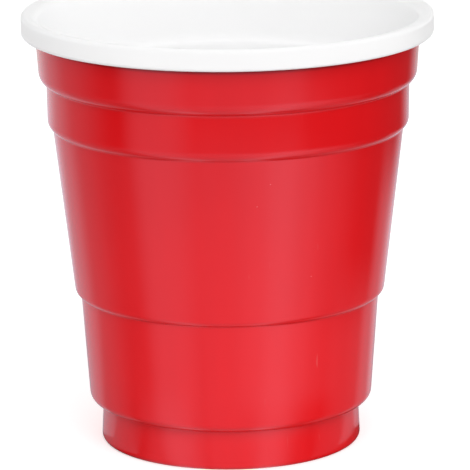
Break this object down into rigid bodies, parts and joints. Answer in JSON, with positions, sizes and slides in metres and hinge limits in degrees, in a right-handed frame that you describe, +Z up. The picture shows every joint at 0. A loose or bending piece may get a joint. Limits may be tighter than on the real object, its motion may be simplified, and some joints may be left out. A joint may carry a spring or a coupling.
{
  "type": "mini plastic party cup",
  "caption": "Mini plastic party cup, red outside and white inside, with a stepped wall, a rolled lip and a raised base panel.",
  "frame": {"origin": "centre of the standing ring under the foot, on the surface that the cup stands on", "axes": "+Z up along the cup's axis, from the foot to the mouth; the cup is round, so X and Y are any two sideways directions"},
  "size_m": [0.0498, 0.0498, 0.0531],
  "materials": {
    "red_outside": "smooth semi-gloss",
    "white_inside": "smooth semi-gloss"
  },
  "bodies": {
    "root": {"cup": "red_outside"}
  },
  "joints": []
}
